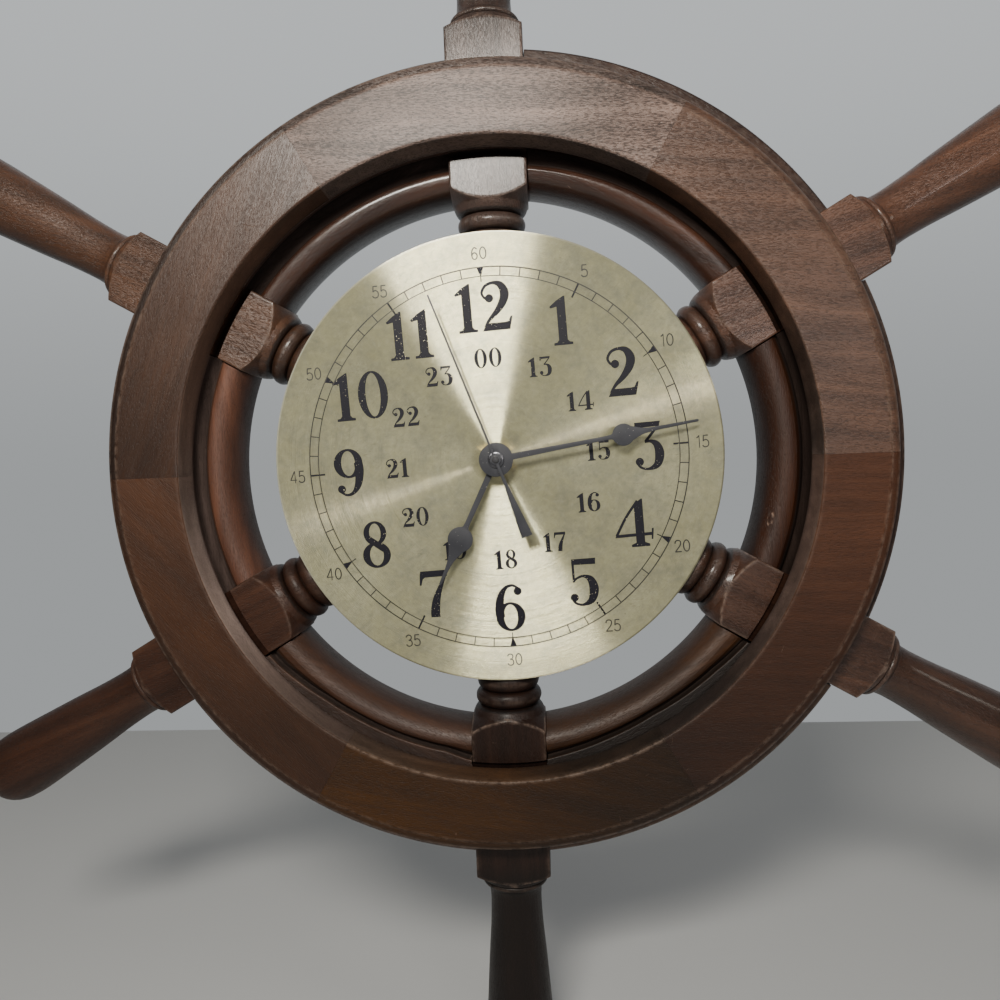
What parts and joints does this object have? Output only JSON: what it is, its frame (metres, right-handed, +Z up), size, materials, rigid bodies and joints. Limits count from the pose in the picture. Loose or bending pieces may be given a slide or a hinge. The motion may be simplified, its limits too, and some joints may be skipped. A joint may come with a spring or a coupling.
{
  "type": "ship wheel wall clock",
  "caption": "Wooden ship's wheel with turned spokes and handles, carrying a round brass clock dial with black numerals and hands, and a battery quartz movement let into its hub.",
  "frame": {"origin": "middle of the whole wheel: on its axis, half way between the back of the spoke blocks and the face of the front ring", "axes": "+Z up along the top spoke, +X to the right as seen from the front, the dial faces -Y, the wall is on the +Y side"},
  "size_m": [0.4564, 0.0426, 0.52],
  "materials": {
    "wood_front_ring": "satin lacquer, dark reddish brown, open grain",
    "wood_back_ring": "satin lacquer, dark reddish brown",
    "wood_spokes": "satin lacquer, dark reddish brown",
    "wood_hub": "thin dark stain",
    "brass_dial": "circular brushed, lacquered, lightly tarnished",
    "black_hands": "matte black",
    "brass_hardware": "bright",
    "steel_screws": "yellow zinc plated",
    "steel_laminate": "bare",
    "magnet": "sintered, dull",
    "copper_wire": "enamelled copper wire",
    "black_rubber": "matte",
    "black_plastic": "moulded, fine texture",
    "white_plastic": "moulded, off-white",
    "green_board": "solder mask",
    "battery_sleeve": "plain grey sleeve, bare steel ends"
  },
  "bodies": {
    "wheel": {"front_ring_segment_1": "wood_front_ring", "front_ring_segment_2": "wood_front_ring", "front_ring_segment_3": "wood_front_ring", "front_ring_segment_4": "wood_front_ring", "front_ring_segment_5": "wood_front_ring", "front_ring_segment_6": "wood_front_ring", "back_ring_segment_1": "wood_back_ring", "back_ring_segment_2": "wood_back_ring", "back_ring_segment_3": "wood_back_ring", "back_ring_segment_4": "wood_back_ring", "back_ring_segment_5": "wood_back_ring", "back_ring_segment_6": "wood_back_ring", "spoke_1": "wood_spokes", "spoke_2": "wood_spokes", "spoke_3": "wood_spokes", "spoke_4": "wood_spokes", "spoke_5": "wood_spokes", "spoke_6": "wood_spokes", "ring_screw_1": "steel_screws", "ring_screw_2": "steel_screws", "ring_screw_3": "steel_screws", "ring_screw_4": "steel_screws", "ring_screw_5": "steel_screws", "ring_screw_6": "steel_screws", "hanger_plate": "brass_hardware", "hanger_screw_1": "brass_hardware", "hanger_screw_2": "brass_hardware", "hub": "wood_hub", "dial": "brass_dial", "hex_nut": "brass_hardware", "brass_washer": "brass_hardware", "rubber_washer": "black_rubber", "movement_case": "black_plastic", "movement_back_cover": "black_plastic", "stator": "steel_laminate", "coil_bobbin": "white_plastic", "coil_winding": "copper_wire", "circuit_board": "green_board", "quartz_crystal": "steel_laminate", "battery": "battery_sleeve", "battery_contact_positive": "steel_laminate", "battery_contact_negative": "steel_laminate"},
    "hour_group": {"hour_hand": "black_hands", "hour_wheel": "white_plastic"},
    "minute_group": {"minute_hand": "black_hands", "cannon_pinion": "brass_hardware", "hand_nut": "black_hands"},
    "second_group": {"second_hand": "black_hands", "seconds_wheel": "white_plastic"},
    "motion_group": {"motion_wheel": "white_plastic"},
    "knob_group": {"set_knob": "white_plastic"},
    "third_group": {"third_wheel": "white_plastic"},
    "centre_group": {"centre_wheel": "brass_hardware"},
    "intermediate_group": {"intermediate_wheel": "white_plastic"},
    "rotor_group": {"rotor": "magnet"}
  },
  "joints": [
    {"name": "minute_turn", "type": "hinge", "parent": "wheel", "child": "minute_group", "pos_m": [0.0006, 0, 0.0023], "axis": [0, 1, 0], "continuous": true},
    {"name": "hour_turn", "type": "hinge", "parent": "wheel", "child": "hour_group", "pos_m": [0.0006, 0, 0.0023], "axis": [0, 1, 0], "continuous": true},
    {"name": "motion_turn", "type": "hinge", "parent": "wheel", "child": "motion_group", "pos_m": [0.00849, 0, -0.00057], "axis": [0, 1, 0], "continuous": true},
    {"name": "knob_turn", "type": "hinge", "parent": "wheel", "child": "knob_group", "pos_m": [0.01718, 0, -0.0021], "axis": [0, 1, 0], "continuous": true},
    {"name": "second_turn", "type": "hinge", "parent": "wheel", "child": "second_group", "pos_m": [0.0006, 0, 0.0023], "axis": [0, 1, 0], "continuous": true},
    {"name": "third_turn", "type": "hinge", "parent": "wheel", "child": "third_group", "pos_m": [-0.00858, 0, 0.0023], "axis": [0, 1, 0], "continuous": true},
    {"name": "centre_turn", "type": "hinge", "parent": "wheel", "child": "centre_group", "pos_m": [0.0006, 0, 0.0023], "axis": [0, 1, 0], "continuous": true},
    {"name": "intermediate_turn", "type": "hinge", "parent": "wheel", "child": "intermediate_group", "pos_m": [0.00749, 0, 0.00809], "axis": [0, 1, 0], "continuous": true},
    {"name": "rotor_turn", "type": "hinge", "parent": "wheel", "child": "rotor_group", "pos_m": [0.00749, 0, 0.01649], "axis": [0, 1, 0], "continuous": true}
  ],
  "couplings": [
    {"joint": "motion_turn", "follows": "minute_turn", "ratio": -0.33333},
    {"joint": "hour_turn", "follows": "minute_turn", "ratio": 0.083333},
    {"joint": "knob_turn", "follows": "minute_turn", "ratio": 0.83333},
    {"joint": "third_turn", "follows": "second_turn", "ratio": -0.13333},
    {"joint": "centre_turn", "follows": "second_turn", "ratio": 0.016667},
    {"joint": "intermediate_turn", "follows": "second_turn", "ratio": -5},
    {"joint": "rotor_turn", "follows": "second_turn", "ratio": 30}
  ]
}
